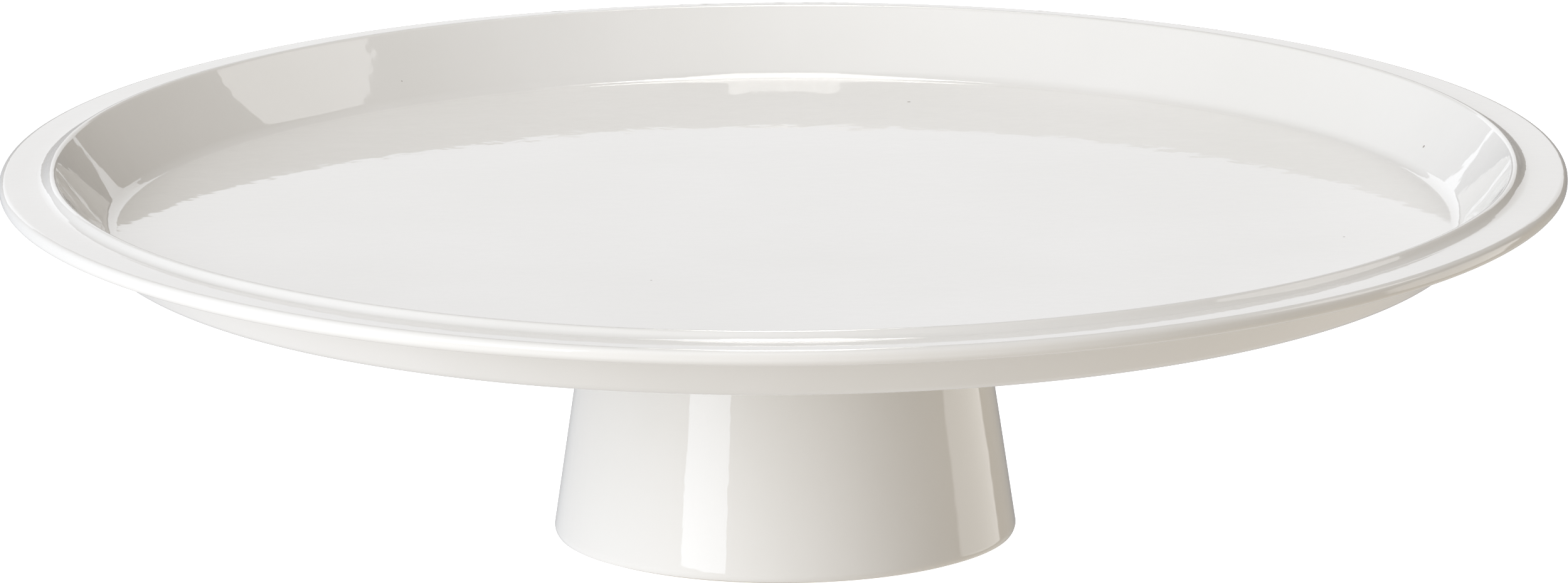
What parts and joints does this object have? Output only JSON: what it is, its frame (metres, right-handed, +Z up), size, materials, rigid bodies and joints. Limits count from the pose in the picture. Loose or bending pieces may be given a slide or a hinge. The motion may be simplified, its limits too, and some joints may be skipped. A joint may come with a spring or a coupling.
{
  "type": "pedestal cake stand",
  "caption": "Round glazed white ceramic cake stand: shallow lipped plate with a flat outer ledge on a low hollow cone foot.",
  "frame": {"origin": "on the axis at the level of the table, the middle of the bare foot ring's underside", "axes": "+Z up along the axis of the plate and foot; X and Y are any two level directions, because the stand is round"},
  "size_m": [0.33, 0.33, 0.0796],
  "materials": {
    "clay": "bare fired white clay, matte",
    "slip": "bare fired slip, matte",
    "glaze": "glossy off-white glaze"
  },
  "bodies": {
    "root": {"plate_body": "clay", "foot_body": "clay", "luting_slip": "slip", "glaze_coat": "glaze", "foot_lining_glaze": "glaze"}
  },
  "joints": []
}
